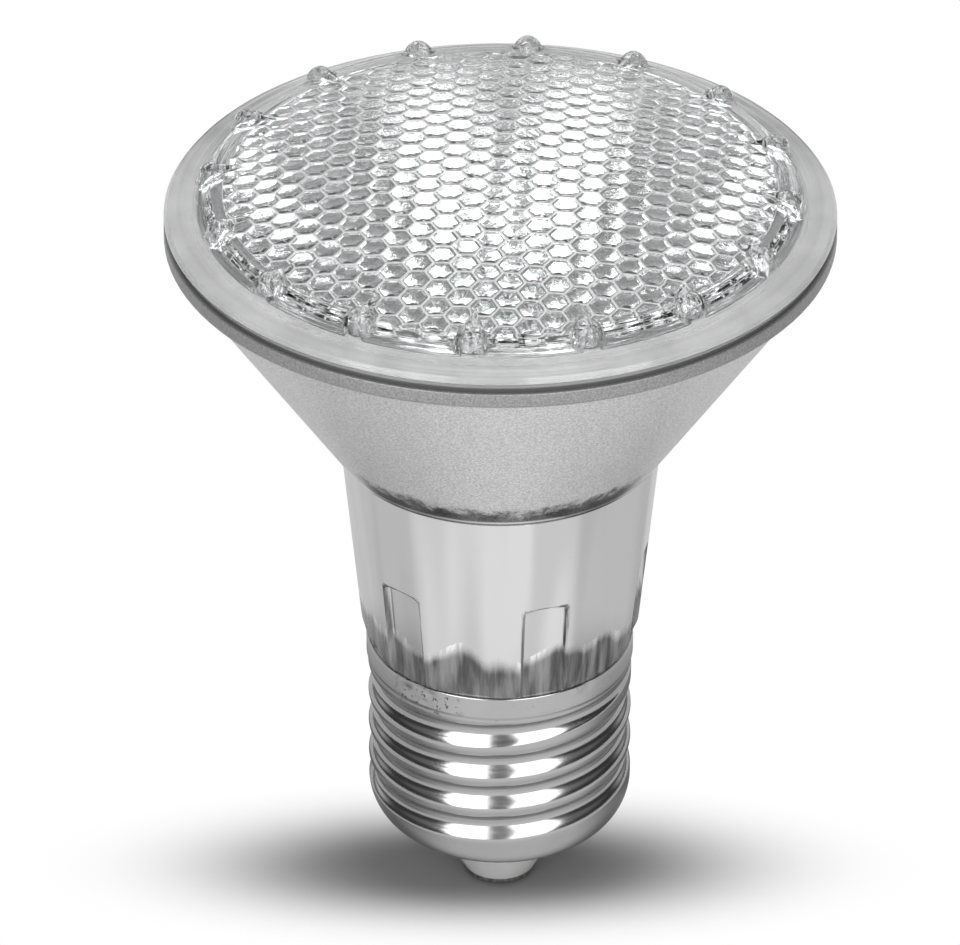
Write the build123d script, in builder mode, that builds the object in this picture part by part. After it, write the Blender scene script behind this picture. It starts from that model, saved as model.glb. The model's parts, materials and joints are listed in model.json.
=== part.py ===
"""Reflector spot lamp with a pressed honeycomb lens and a rolled screw cap."""

import os
from math import cos, pi, radians, sin, sqrt, tan

from build123d import *

# All sizes are in millimetres, the lamp axis is +Z and the cap's contact points down

# Screw cap
cap_height = 28.7
cap_radius = 13.18
collar_height = 2.2
collar_wall = 0.35
collar_lip = 0.3
thread_drop = 0.16
thread_pitch = 3.629
thread_depth = 0.82
thread_overcut = 0.03
thread_gap = 0.1
thread_wall = 0.35
thread_turns = 4.05
thread_fade_turns = 0.45
thread_start_drop = 0.73
thread_start_angle = 45.0
groove_points_per_turn = 12
cap_dome_radius = 4.9
cap_dome_height = 11.9
cap_floor_angle = 30.0
cap_mouth_radius = 5.8

# Insulator, centre contact and its solder
insulator_key = 2.6
insulator_bore = 1.0
insulator_crown = 0.6
contact_radius = 3.6
contact_thickness = 0.5
contact_edge = 0.2
solder_radius = 1.9
solder_height = 0.3

# Glass reflector: spigot, neck, bowl and rim
cement_gap = 0.55
cement_sink = 0.3
spigot_wall = 2.2
neck_gap = 0.1
neck_overhang = 0.52
neck_chamfer = 1.1
neck_height = 21.6
neck_head_radius = 15.8
neck_panels = 6
neck_panel_angle = 40.0
neck_panel_phase = -102.0
pocket_width = 4.4
pocket_height = 10.8
pocket_depth = 0.6
pocket_corner = 1.2
bowl_height = 24.8
bowl_foot_fillet = 0.6
rim_radius = 32.25
rim_step = 0.85
rim_wall_height = 1.55
rim_fillet = 0.35
mirror_rim_wall = 3.05
mirror_sink = 2.3
floor_thickness = 2.2

# Rim seal and front lens
seal_thickness = 0.4
seal_inset = 0.35
lens_skirt_wall = 2.9
lens_skirt_depth = 1.5
lens_crease_height = 0.7
lens_edge_height = 0.5
lens_edge_inset = 0.4
lens_ledge_width = 3.25
lens_ledge_rise = 1.2
lens_step_run = 0.9
lens_step_rise = 1.0
lens_dome_rise = 3.0
lens_hollow_rise = 2.9
honeycomb_margin = 3.8
cell_side = 1.46
cell_turn = -4.0
cell_root = 0.2
cell_land = 0.1
cell_depth = 0.35
cell_taper = 45.0

# Moulded nubs round the lens face
nub_count = 16
nub_phase = -95.7
nub_radius = 1.3
nub_height = 1.3
nub_length = 3.3
nub_tail = 0.25
nub_root = 1.2

# Halogen burner
burner_radius = 4.6
burner_wall = 1.0
burner_shoulder = 1.6
burner_bulb_height = 8.0
burner_dome_height = 3.2
burner_tip_radius = 0.9
burner_tip_height = 1.6
pinch_width = 8.4
pinch_thickness = 2.6
pinch_height = 4.8
pinch_corner = 0.6
pinch_clearance = 1.0
foil_width = 1.5
foil_thickness = 0.2
foil_height = 2.6
foil_cover = 1.0
pin_spacing = 4.4
pin_radius = 0.45
pin_reach = 3.0
inner_lead_radius = 0.25
inner_lead_stub = 0.6
inner_lead_bend = 0.35
filament_radius = 0.6
filament_length = 4.8
filament_rise = 2.4
hairpin_rise = 0.6

# Ferrules, lead wires and the weld on the shell
ferrule_wall = 0.75
ferrule_flange_wall = 0.6
ferrule_flange = 0.5
ferrule_stand = 0.4
lead_stub = 3.0
lead_bend = 1.5
shell_lead_margin = 2.4
weld_radius = 0.8
weld_length = 0.95
weld_drop = 6.0

# Places that follow from the sizes
contact_top = solder_height + contact_thickness
thread_radius = cap_radius - thread_drop
shell_wall_radius = thread_radius - thread_depth - thread_wall
collar_bore = cap_radius - collar_wall
collar_foot = cap_height - collar_height
spigot_radius = collar_bore - cement_gap
neck_bore = spigot_radius - spigot_wall
neck_foot = cap_height + neck_gap
neck_foot_radius = cap_radius + neck_overhang
neck_top = neck_foot + neck_height
rim_top = neck_top + bowl_height
bowl_top = rim_top - rim_wall_height
mirror_vertex = neck_top - mirror_sink
mirror_mouth = rim_radius - mirror_rim_wall
mirror_depth = rim_top - mirror_vertex
floor_under = mirror_vertex - floor_thickness
seal_radius = rim_radius - seal_inset
seal_bore = seal_radius - lens_skirt_wall
lens_foot = rim_top + seal_thickness
lens_plane = lens_foot + lens_skirt_depth
lens_crease = lens_foot + lens_crease_height
lens_edge = lens_crease + lens_edge_height
lens_edge_radius = rim_radius - lens_edge_inset
lens_step_radius = lens_edge_radius - lens_ledge_width
lens_ledge = lens_edge + lens_ledge_rise
lens_face_radius = lens_step_radius - lens_step_run
lens_face = lens_ledge + lens_step_rise
lens_dome_radius = (lens_face_radius**2 + lens_dome_rise**2) / (2 * lens_dome_rise)
lens_hollow_top = lens_plane + lens_hollow_rise
lens_hollow_radius = (seal_bore**2 + lens_hollow_rise**2) / (2 * lens_hollow_rise)
honeycomb_radius = seal_bore - honeycomb_margin
pin_x = pin_spacing / 2
pinch_foot = mirror_vertex + pinch_clearance
pinch_top = pinch_foot + pinch_height
foil_foot = pinch_foot + foil_cover
foil_top = foil_foot + foil_height
bulb_foot = pinch_top + burner_shoulder
bulb_top = bulb_foot + burner_bulb_height
bulb_crown = bulb_top + burner_dome_height
cavity_radius = burner_radius - burner_wall
cavity_foot = pinch_top + burner_wall
filament_foot = cavity_foot + filament_rise
filament_top = filament_foot + filament_length
pin_foot = floor_under - pin_reach
ferrule_radius = pin_radius + ferrule_wall
ferrule_flange_radius = ferrule_radius + ferrule_flange_wall
ferrule_top = mirror_vertex + mirror_depth * (pin_x / mirror_mouth) ** 2 + ferrule_stand
weld_height = collar_foot - weld_drop
weld_face = shell_wall_radius - weld_length


def shoulder_point(radius, angle):
    """A point on the cap's rounded shoulder, at an angle below its upright tangent."""
    centre = thread_radius - cap_dome_radius
    return (centre + radius * cos(radians(angle)), cap_dome_height - radius * sin(radians(angle)))


def floor_point(start, radius):
    """The point at a radius on the cap's sloping floor, going inwards from a start point."""
    return (radius, start[1] - (start[0] - radius) * tan(radians(cap_floor_angle)))


def dome_height(radius):
    """The height of the lens face at a radius."""
    return lens_face + lens_dome_rise - lens_dome_radius + sqrt(lens_dome_radius**2 - radius**2)


def hollow_height(radius):
    """The height of the lens's hollow underside at a radius."""
    return lens_hollow_top - lens_hollow_radius + sqrt(lens_hollow_radius**2 - radius**2)


def panel_points(radius):
    """The corners of the neck's outline, wide panels between narrow strips, at a radius."""
    points = []
    for panel in range(neck_panels):
        middle = neck_panel_phase + 360.0 * panel / neck_panels
        for side in (-0.5, 0.5):
            angle = radians(middle + side * neck_panel_angle)
            points.append((radius * cos(angle), radius * sin(angle)))
    return points


# Screw shell: collar, thread blank, rounded shoulder and sloping floor
shoulder_turn = 90.0 - cap_floor_angle
inner_shoulder = cap_dome_radius - thread_depth - thread_wall
outer_start = shoulder_point(cap_dome_radius, shoulder_turn)
inner_start = shoulder_point(inner_shoulder, shoulder_turn)
outer_mouth = floor_point(outer_start, cap_mouth_radius)
inner_mouth = floor_point(inner_start, cap_mouth_radius)

# The rolled wave of the thread: equal arcs at root and crest that run into each other
wave_depth = thread_depth + thread_overcut
wave_radius = ((thread_pitch / 2) ** 2 + wave_depth**2) / (4 * wave_depth)
wave_end = (thread_pitch - thread_gap) / 2
wave_crest = wave_radius - wave_depth
wave_end_rise = wave_crest - sqrt(wave_radius**2 - (thread_gap / 2) ** 2)
wave_mid = 0.75 * thread_pitch / 2
wave_mid_rise = wave_crest - sqrt(wave_radius**2 - (thread_pitch / 2 - wave_mid) ** 2)
wave_lip = -2.0 * thread_depth

groove_points = []
groove_steps = int(groove_points_per_turn * thread_turns)
for step in range(groove_steps + 1):
    turn = thread_turns * step / groove_steps
    fade = min(1.0, min(turn, thread_turns - turn) / thread_fade_turns)
    ease = 0.5 - 0.5 * cos(pi * fade)
    groove_radius = thread_radius + 5 * thread_overcut - (thread_depth + 5 * thread_overcut) * ease
    groove_angle = radians(thread_start_angle - 360.0 * turn)
    groove_height = collar_foot - thread_start_drop - thread_pitch * turn
    groove_points.append(
        (groove_radius * cos(groove_angle), groove_radius * sin(groove_angle), groove_height)
    )

with BuildPart() as thread_groove:
    with BuildLine() as groove_path:
        Spline(*groove_points)
    with BuildSketch(Plane(groove_path.line @ 0, x_dir=(0, 0, 1), z_dir=groove_path.line % 0)):
        with BuildLine():
            ThreePointArc(
                (-thread_pitch / 4, -wave_depth / 2), (0, 0), (thread_pitch / 4, -wave_depth / 2)
            )
            for side in (-1, 1):
                ThreePointArc(
                    (side * thread_pitch / 4, -wave_depth / 2),
                    (side * wave_mid, wave_mid_rise),
                    (side * wave_end, wave_end_rise),
                )
                Line((side * wave_end, wave_end_rise), (side * wave_end, wave_lip))
            Line((-wave_end, wave_lip), (wave_end, wave_lip))
        make_face()
    sweep(path=groove_path.line, is_frenet=True)

with BuildPart() as screw_shell:
    with BuildSketch(Plane.XZ):
        with BuildLine():
            Polyline(
                (thread_radius, cap_dome_height),
                (thread_radius, collar_foot - collar_lip),
                (cap_radius, collar_foot),
                (cap_radius, cap_height),
                (collar_bore, cap_height),
                (collar_bore, collar_foot),
                (shell_wall_radius, collar_foot),
                (shell_wall_radius, cap_dome_height),
            )
            ThreePointArc(
                (shell_wall_radius, cap_dome_height),
                shoulder_point(inner_shoulder, shoulder_turn / 2),
                inner_start,
            )
            Polyline(inner_start, inner_mouth, outer_mouth, outer_start)
            ThreePointArc(
                outer_start,
                shoulder_point(cap_dome_radius, shoulder_turn / 2),
                (thread_radius, cap_dome_height),
            )
        make_face()
    revolve(axis=Axis.Z)
    add(thread_groove.part, mode=Mode.SUBTRACT)

# Insulator cone, keyed behind the shell's mouth
key_corner = floor_point(inner_start, cap_mouth_radius + insulator_key)
insulator_top = key_corner[1] + insulator_crown

with BuildPart() as cap_insulator:
    with BuildSketch(Plane.XZ):
        with BuildLine():
            Polyline(
                (insulator_bore, contact_top),
                (contact_radius, contact_top),
                outer_mouth,
                inner_mouth,
                key_corner,
                (key_corner[0], insulator_top),
                (insulator_bore, insulator_top),
                close=True,
            )
        make_face()
    revolve(axis=Axis.Z)

# Centre contact disc and the solder bead below it
with BuildPart() as centre_contact:
    with BuildSketch(Plane.XY.offset(solder_height)):
        Circle(contact_radius)
        Circle(pin_radius, mode=Mode.SUBTRACT)
    extrude(amount=contact_thickness)
    fillet(centre_contact.edges().group_by(Axis.Z)[0].sort_by(SortBy.RADIUS)[-1:], contact_edge)

with BuildPart() as contact_solder:
    with BuildSketch(Plane.XZ):
        with BuildLine():
            TangentArc((0, 0), (solder_radius, solder_height), tangent=(1, 0))
            Polyline((solder_radius, solder_height), (0, solder_height), (0, 0))
        make_face()
    revolve(axis=Axis.Z)

# Glass reflector: panelled neck, conical bowl, rim, mirror hollow and bore
with BuildPart() as neck_blank:
    for height, radius in ((neck_foot, neck_foot_radius), (neck_top, neck_head_radius)):
        with BuildSketch(Plane.XY.offset(height)):
            Polygon(*panel_points(radius), align=None)
    loft(ruled=True)
    for strip in range(neck_panels):
        angle = neck_panel_phase + 360.0 * (strip + 0.5) / neck_panels
        facing = Vector(cos(radians(angle)), sin(radians(angle)), 0)
        across = Vector(-facing.Y, facing.X, 0)
        strip_radius = neck_foot_radius * cos(radians((360.0 / neck_panels - neck_panel_angle) / 2))
        lean = neck_head_radius - neck_foot_radius
        up = Vector(facing.X * lean, facing.Y * lean, neck_height)
        outward = across.cross(up)
        face_plane = Plane(
            facing * strip_radius + Vector(0, 0, neck_foot), x_dir=across, z_dir=outward
        )
        with BuildSketch(face_plane.offset(-pocket_depth)):
            RectangleRounded(pocket_width, 2 * pocket_height, pocket_corner)
        extrude(amount=2 * pocket_depth, mode=Mode.SUBTRACT)

with BuildPart() as neck_limit:
    with BuildSketch(Plane.XZ):
        with BuildLine():
            Polyline(
                (0, neck_foot),
                (cap_radius, neck_foot),
                (cap_radius + 2 * neck_overhang, neck_foot + 2 * neck_chamfer),
                (rim_radius, neck_foot + 2 * neck_chamfer),
                (rim_radius, rim_top),
                (0, rim_top),
                close=True,
            )
        make_face()
    revolve(axis=Axis.Z)

with BuildPart() as reflector_body:
    add(neck_blank.part)
    add(neck_limit.part, mode=Mode.INTERSECT)
    with BuildSketch(Plane.XZ) as bowl_profile:
        with BuildLine():
            Polyline(
                (0, neck_top),
                (neck_head_radius, neck_top),
                (rim_radius - rim_step, bowl_top),
                (rim_radius, bowl_top),
                (rim_radius, rim_top),
                (0, rim_top),
                close=True,
            )
        make_face()
        fillet(bowl_profile.vertices().sort_by_distance((neck_head_radius, neck_top))[0], bowl_foot_fillet)
        fillet(bowl_profile.vertices().sort_by_distance((rim_radius, bowl_top))[0], rim_fillet)
    revolve(axis=Axis.Z)
    with BuildSketch(Plane.XY.offset(collar_foot)):
        Circle(spigot_radius)
    extrude(amount=neck_foot - collar_foot)
    with BuildSketch(Plane.XY.offset(collar_foot)):
        Circle(neck_bore)
    extrude(amount=floor_under - collar_foot, mode=Mode.SUBTRACT)
    with BuildSketch(Plane.XZ):
        with BuildLine():
            Bezier((0, mirror_vertex), (mirror_mouth / 2, mirror_vertex), (mirror_mouth, rim_top))
            Polyline((mirror_mouth, rim_top), (0, rim_top), (0, mirror_vertex))
        make_face()
    revolve(axis=Axis.Z, mode=Mode.SUBTRACT)
    with BuildSketch(Plane.XY.offset(floor_under)):
        with Locations((-pin_x, 0), (pin_x, 0)):
            Circle(ferrule_radius)
    extrude(amount=ferrule_top - floor_under, mode=Mode.SUBTRACT)

# Cement between the spigot and the collar, and the seal under the lens
with BuildPart() as cap_cement:
    with BuildSketch(Plane.XY.offset(collar_foot)):
        Circle(collar_bore)
        Circle(spigot_radius, mode=Mode.SUBTRACT)
    extrude(amount=collar_height - cement_sink)

with BuildPart() as rim_seal:
    with BuildSketch(Plane.XY.offset(rim_top)):
        Circle(seal_radius)
        Circle(seal_bore, mode=Mode.SUBTRACT)
    extrude(amount=seal_thickness)

# One moulded nub: a round cone-topped boss with a gable tail towards the middle
nub_place = lens_face_radius
nub_tail_place = nub_place - nub_length

with BuildPart() as lens_nub:
    with BuildSketch(Plane.XY.offset(lens_face - nub_root)):
        with Locations((nub_place, 0)):
            Circle(nub_radius)
    extrude(amount=nub_root)
    with Locations((nub_place, 0, lens_face)):
        Cone(nub_radius, 0, nub_height, align=(Align.CENTER, Align.CENTER, Align.MIN))
    with BuildSketch(Plane((nub_place, 0, lens_face), x_dir=(0, 1, 0), z_dir=(1, 0, 0))):
        Polygon(
            (-nub_radius, -nub_root),
            (nub_radius, -nub_root),
            (nub_radius, 0),
            (0, nub_height),
            (-nub_radius, 0),
            align=None,
        )
    tail_rise = dome_height(nub_tail_place) - lens_face
    with BuildSketch(Plane((nub_tail_place, 0, lens_face), x_dir=(0, 1, 0), z_dir=(1, 0, 0))):
        Polygon(
            (-nub_tail, tail_rise - nub_root),
            (nub_tail, tail_rise - nub_root),
            (nub_tail, tail_rise - nub_tail / 2),
            (0, tail_rise + nub_tail / 4),
            (-nub_tail, tail_rise - nub_tail / 2),
            align=None,
        )
    loft(ruled=True)

# Hexagon cells that fit inside the honeycomb circle, square to the hollow underside
cell_pitch = sqrt(3) * cell_side
cell_reach = int(honeycomb_radius / cell_side) + 1
cell_places = []
for column in range(-cell_reach, cell_reach + 1):
    for row in range(-cell_reach, cell_reach + 1):
        x = 1.5 * cell_side * column
        y = cell_pitch * (row + 0.5 * (column % 2))
        spot = sqrt(x**2 + y**2)
        if spot + cell_side <= honeycomb_radius:
            lift = sqrt(lens_hollow_radius**2 - spot**2)
            outward = Vector(x, y, lift)
            across = Vector(lift, 0, -x)
            cell_places.append(Plane((x, y, hollow_height(spot)), x_dir=across, z_dir=outward))

with BuildPart() as lens_cell:
    with BuildSketch(Plane((0, 0, cell_root), x_dir=(1, 0, 0), z_dir=(0, 0, -1))) as cell_outline:
        RegularPolygon(cell_side - cell_land, 6)
    extrude(amount=cell_root)
    extrude(cell_outline.sketch.moved(Location((0, 0, -cell_root))), amount=cell_depth, taper=cell_taper)

with BuildPart() as honeycomb:
    with Locations(*cell_places):
        add(lens_cell.part)

with BuildPart() as front_lens:
    with BuildSketch(Plane.XZ):
        with BuildLine():
            Polyline(
                (seal_bore, lens_plane),
                (seal_bore, lens_foot),
                (seal_radius, lens_foot),
                (rim_radius, lens_crease),
                (lens_edge_radius, lens_edge),
                (lens_step_radius, lens_ledge),
                (lens_face_radius, lens_face),
            )
            ThreePointArc(
                (lens_face_radius, lens_face),
                (lens_face_radius / 2, dome_height(lens_face_radius / 2)),
                (0, lens_face + lens_dome_rise),
            )
            Line((0, lens_face + lens_dome_rise), (0, lens_hollow_top))
            ThreePointArc(
                (0, lens_hollow_top),
                (seal_bore / 2, hollow_height(seal_bore / 2)),
                (seal_bore, lens_plane),
            )
        make_face()
    revolve(axis=Axis.Z)
    with PolarLocations(0, nub_count, start_angle=nub_phase):
        add(lens_nub.part)
    add(honeycomb.part.rotate(Axis.Z, cell_turn))

# Burner: foils, pins, inner leads and the coiled filament in a pinched quartz bulb
side_names = {-1: "left", 1: "right"}
foils = {}
burner_pins = {}
ferrules = {}
for side, name in side_names.items():
    with BuildPart() as foil:
        with BuildSketch(Plane.XY.offset(foil_foot)):
            with Locations((side * pin_x, 0)):
                Rectangle(foil_width, foil_thickness)
        extrude(amount=foil_height)
    foils[name] = foil
    with BuildPart() as burner_pin:
        with BuildSketch(Plane.XY.offset(pin_foot)):
            with Locations((side * pin_x, 0)):
                Circle(pin_radius)
        extrude(amount=foil_foot - pin_foot)
    burner_pins[name] = burner_pin
    with BuildPart() as ferrule:
        with BuildSketch(Plane.XY.offset(floor_under - ferrule_flange)):
            with Locations((side * pin_x, 0)):
                Circle(ferrule_flange_radius)
        extrude(amount=ferrule_flange)
        with BuildSketch(Plane.XY.offset(floor_under)):
            with Locations((side * pin_x, 0)):
                Circle(ferrule_radius)
        extrude(amount=ferrule_top - floor_under)
        with BuildSketch(Plane.XY.offset(floor_under - ferrule_flange)):
            with Locations((side * pin_x, 0)):
                Circle(pin_radius)
        extrude(amount=ferrule_top - floor_under + ferrule_flange, mode=Mode.SUBTRACT)
    ferrules[name] = ferrule

with BuildPart() as filament:
    with BuildSketch(Plane.XY.offset(filament_foot)):
        Circle(filament_radius)
    extrude(amount=filament_length)

with BuildPart() as foot_lead:
    with BuildLine() as foot_path:
        FilletPolyline(
            (-pin_x, 0, foil_top),
            (-pin_x, 0, cavity_foot + inner_lead_stub),
            (0, 0, filament_foot - inner_lead_stub),
            (0, 0, filament_foot),
            radius=inner_lead_bend,
        )
    with BuildSketch(Plane((-pin_x, 0, foil_top))):
        Circle(inner_lead_radius)
    sweep(path=foot_path.line)

hairpin_top = filament_top + hairpin_rise
with BuildPart() as top_lead:
    with BuildLine() as top_path:
        Line((pin_x, 0, foil_top), (pin_x, 0, hairpin_top))
        ThreePointArc(
            (pin_x, 0, hairpin_top), (pin_x / 2, 0, hairpin_top + pin_x / 2), (0, 0, hairpin_top)
        )
        Line((0, 0, hairpin_top), (0, 0, filament_top))
    with BuildSketch(Plane((pin_x, 0, foil_top))):
        Circle(inner_lead_radius)
    sweep(path=top_path.line)

with BuildPart() as burner_envelope:
    with BuildSketch(Plane.XZ):
        with BuildLine():
            Polyline(
                (0, pinch_top),
                (cavity_radius, pinch_top),
                (burner_radius, bulb_foot),
                (burner_radius, bulb_top),
            )
            Bezier(
                (burner_radius, bulb_top),
                (burner_radius, bulb_crown),
                (burner_tip_radius, bulb_crown),
            )
            Polyline(
                (burner_tip_radius, bulb_crown),
                (0, bulb_crown + burner_tip_height),
                (0, pinch_top),
            )
        make_face()
    revolve(axis=Axis.Z)
    with BuildSketch(Plane.XY.offset(pinch_foot)):
        RectangleRounded(pinch_width, pinch_thickness, pinch_corner)
    extrude(amount=pinch_height)
    with BuildSketch(Plane.XZ):
        with BuildLine():
            Polyline(
                (0, cavity_foot),
                (cavity_radius - burner_wall, cavity_foot),
                (cavity_radius, bulb_foot + burner_wall),
                (cavity_radius, bulb_top),
            )
            Bezier(
                (cavity_radius, bulb_top),
                (cavity_radius, bulb_crown - burner_wall),
                (0, bulb_crown - burner_wall),
            )
            Line((0, bulb_crown - burner_wall), (0, cavity_foot))
        make_face()
    revolve(axis=Axis.Z, mode=Mode.SUBTRACT)
    add(foot_lead.part, mode=Mode.SUBTRACT)
    add(top_lead.part, mode=Mode.SUBTRACT)
    for name in foils:
        add(foils[name].part, mode=Mode.SUBTRACT)
        add(burner_pins[name].part, mode=Mode.SUBTRACT)

# Lead wires below the floor: one to the centre contact, one to the weld on the shell
with BuildPart() as contact_lead:
    with BuildLine() as contact_path:
        FilletPolyline(
            (-pin_x, 0, pin_foot),
            (-pin_x, 0, pin_foot - lead_stub),
            (0, 0, insulator_top + lead_stub),
            (0, 0, solder_height),
            radius=lead_bend,
        )
    with BuildSketch(Plane((-pin_x, 0, pin_foot), z_dir=(0, 0, -1))):
        Circle(pin_radius)
    sweep(path=contact_path.line)

with BuildPart() as shell_lead:
    with BuildLine() as shell_path:
        FilletPolyline(
            (pin_x, 0, pin_foot),
            (pin_x, 0, pin_foot - lead_stub),
            (neck_bore - shell_lead_margin, 0, cap_height),
            (neck_bore - shell_lead_margin, 0, weld_height),
            (weld_face, 0, weld_height),
            radius=lead_bend,
        )
    with BuildSketch(Plane((pin_x, 0, pin_foot), z_dir=(0, 0, -1))):
        Circle(pin_radius)
    sweep(path=shell_path.line)

with BuildPart() as shell_weld:
    with BuildSketch(Plane((weld_face, 0, weld_height), x_dir=(0, 1, 0), z_dir=(1, 0, 0))):
        Circle(weld_radius)
    extrude(amount=2 * weld_length)
    with BuildSketch(Plane.XY.offset(weld_height - 2 * weld_radius)):
        Circle(shell_wall_radius)
    extrude(amount=4 * weld_radius, mode=Mode.INTERSECT)

# Every piece as its own file
pieces = {
    "front_lens": front_lens,
    "rim_seal": rim_seal,
    "reflector_body": reflector_body,
    "burner_envelope": burner_envelope,
    "filament": filament,
    "filament_foot_lead": foot_lead,
    "filament_top_lead": top_lead,
    "contact_lead": contact_lead,
    "shell_lead": shell_lead,
    "shell_weld": shell_weld,
    "cap_cement": cap_cement,
    "screw_shell": screw_shell,
    "cap_insulator": cap_insulator,
    "centre_contact": centre_contact,
    "contact_solder": contact_solder,
}
for name in foils:
    pieces["pinch_foil_" + name] = foils[name]
    pieces["burner_pin_" + name] = burner_pins[name]
    pieces["floor_ferrule_" + name] = ferrules[name]

os.makedirs("parts", exist_ok=True)
for name, piece in pieces.items():
    piece.part.label = name
    export_step(piece.part, "parts/" + name + ".step")
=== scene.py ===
import json
from math import atan2, cos, pi, radians, sin, sqrt, tan

import bmesh
import bpy
import numpy as np
from mathutils import Matrix, Vector


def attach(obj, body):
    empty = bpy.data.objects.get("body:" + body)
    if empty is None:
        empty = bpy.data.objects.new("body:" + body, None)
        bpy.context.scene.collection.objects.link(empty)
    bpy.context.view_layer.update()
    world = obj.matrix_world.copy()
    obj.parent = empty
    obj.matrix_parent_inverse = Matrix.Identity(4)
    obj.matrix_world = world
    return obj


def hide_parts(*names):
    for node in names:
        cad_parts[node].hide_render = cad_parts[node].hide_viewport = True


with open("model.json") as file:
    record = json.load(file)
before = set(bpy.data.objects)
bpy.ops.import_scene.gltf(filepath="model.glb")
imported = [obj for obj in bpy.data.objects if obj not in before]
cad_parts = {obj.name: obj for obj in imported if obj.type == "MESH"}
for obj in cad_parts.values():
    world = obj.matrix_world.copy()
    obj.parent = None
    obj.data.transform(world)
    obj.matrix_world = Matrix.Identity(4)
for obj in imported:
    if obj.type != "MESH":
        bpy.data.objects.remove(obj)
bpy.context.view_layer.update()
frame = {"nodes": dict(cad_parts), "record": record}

# Lengths are written in millimetres and angles in degrees; meshes are made in metres
MM = 0.001

# Cap: collar, rolled thread, shoulder and floor
CAP_TOP = 28.7
COLLAR_RADIUS = 13.18
COLLAR_FOOT = 26.5
COLLAR_LIP = 0.3
COLLAR_BORE = 12.83
THREAD_RADIUS = 13.02
THREAD_DEPTH = 0.82
THREAD_PITCH = 3.629
THREAD_TURNS = 4.05
THREAD_FADE = 0.45
THREAD_START = 25.77
THREAD_RUN_OUT = 0.15
THREAD_ANGLE = 45.0
SHELL_WALL = 11.85
SHOULDER_TOP = 11.9
SHOULDER_RADIUS = 4.9
FLOOR_SLOPE = 30.0
MOUTH_RADIUS = 5.8

# Knocks on the collar: angle, height, spread in degrees and millimetres, depth
COLLAR_DENTS = [
    (-127.0, 28.4, 3.0, 0.4, 0.16),
    (-121.0, 28.0, 2.2, 0.4, 0.12),
    (-132.0, 27.6, 3.0, 0.5, 0.10),
    (-124.0, 27.0, 1.6, 0.3, 0.10),
    (-54.0, 28.4, 3.0, 0.4, -0.05),
    (-49.0, 28.4, 2.0, 0.35, 0.12),
    (150.0, 28.2, 4.0, 0.5, 0.10),
    (60.0, 28.3, 3.0, 0.4, 0.10),
]

# Glass reflector
SPIGOT_RADIUS = 12.28
NECK_BORE = 10.08
NECK_FOOT = 28.8
NECK_TOP = 50.4
NECK_FOOT_RADIUS = 13.7
NECK_HEAD_RADIUS = 15.8
NECK_FLARE = 0.473
NECK_PANELS = 6
PANEL_HALF = 20.0
PANEL_PHASE = -102.0
POCKET_HALF = 2.2
POCKET_TOP = 39.6
POCKET_DEPTH = 0.6
BOWL_TOP = 73.65
BOWL_RADIUS = 31.4
RIM_RADIUS = 32.25
RIM_TOP = 75.2
MIRROR_MOUTH = 29.2
MIRROR_VERTEX = 48.1
FLOOR_UNDER = 45.9
SILVER_EDGE = 33.4

# Front lens
LENS_FOOT = 75.6
LENS_PLANE = 77.1
SKIRT_BORE = 29.0
SKIRT_RADIUS = 31.9
CREASE_HEIGHT = 76.3
EDGE_RADIUS = 31.85
EDGE_HEIGHT = 76.8
STEP_RADIUS = 28.6
LEDGE_HEIGHT = 78.0
FACE_RADIUS = 27.7
FACE_HEIGHT = 79.0
APEX_HEIGHT = 82.0
HOLLOW_TOP = 80.0
NUB_COUNT = 16
NUB_PHASE = -95.7
NUB_RADIUS = 1.3
NUB_HEIGHT = 0.95
NUB_LENGTH = 3.3
NUB_TAIL = 0.25
NUB_SPREAD = 3.4
NUB_BULGE = 1.8
NUB_POWER = 0.85
NUB_FOOT = (1.18, 0.98)
FACE_START = 26.9
TAIL_END = 23.8
PLAIN_RADII = (23.4, 22.5, 20.0, 16.0, 12.0, 8.0, 4.0)
CELL_SIDE = 1.46
CELL_TURN = -4.0
CELL_DEPTH = 0.35
CELL_SAG = 0.42
CELL_LAND = 0.12
CELL_PILLOW = 0.82
PILLOW_STEPS = (0.0, 0.1, 0.35, 0.65, 1.0)
SIDE_STEPS = 3
SLIVER_SIZE = 0.6
FRINGE_RADIUS = 26.4
FRINGE_GAP = 0.15
SEAL_CONTACT = 0.03

# Filament coil
FILAMENT_FOOT = 57.3
FILAMENT_TOP = 62.1
COIL_RADIUS = 0.46
COIL_WIRE = 0.14
COIL_TURNS = 13


# Small numeric helpers

def smooth_step(low, high, value):
    """0 below low, 1 above high, with an eased slope between them."""
    t = np.clip((value - low) / (high - low), 0.0, 1.0)
    return t * t * (3.0 - 2.0 * t)


def soft_min(a, b, width):
    """The lower of two values, rounded over a width."""
    blend = np.clip(0.5 + 0.5 * (b - a) / width, 0.0, 1.0)
    return b + (a - b) * blend - width * blend * (1.0 - blend)


def turn_difference(angle, middle):
    """The angle from a middle, in degrees from -180 to 180."""
    return (angle - middle + 180.0) % 360.0 - 180.0


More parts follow.
